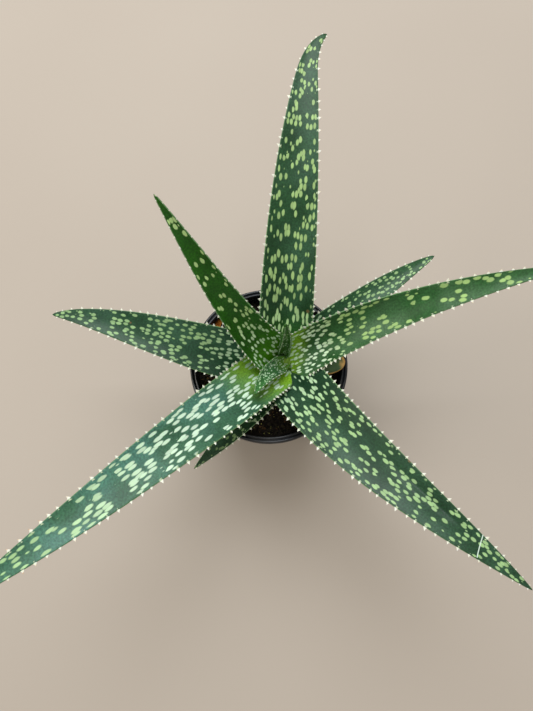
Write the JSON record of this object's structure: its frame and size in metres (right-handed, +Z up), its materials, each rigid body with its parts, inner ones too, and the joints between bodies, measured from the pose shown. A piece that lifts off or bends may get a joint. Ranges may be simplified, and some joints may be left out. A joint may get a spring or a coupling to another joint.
{
  "type": "potted tropical white aloe",
  "caption": "Young spotted aloe with a rosette of arching, toothed leaves on a short stem, in a round black nursery pot filled with soil.",
  "frame": {"origin": "centre of the pot's flat base, on the surface it stands on", "axes": "+Z up; the longest upright leaf seen at the picture's top leans towards +Y; +X is the picture's right"},
  "size_m": [0.3094, 0.3333, 0.2164],
  "materials": {
    "pot_plastic": "satin",
    "potting_mix": "matte",
    "stem_bark": "matte",
    "leaf_skin": "satin",
    "old_leaf_skin": "matte"
  },
  "bodies": {
    "root": {"pot": "pot_plastic", "soil": "potting_mix", "stem": "stem_bark", "leaf_young_spear": "leaf_skin", "leaf_young_curled": "leaf_skin", "leaf_back_left": "leaf_skin", "leaf_right": "leaf_skin", "leaf_front_left": "leaf_skin", "leaf_back": "leaf_skin", "leaf_front_right": "leaf_skin", "leaf_left": "leaf_skin", "leaf_low_right": "leaf_skin", "leaf_low_front": "leaf_skin", "leaf_old_stub": "old_leaf_skin"}
  },
  "joints": []
}
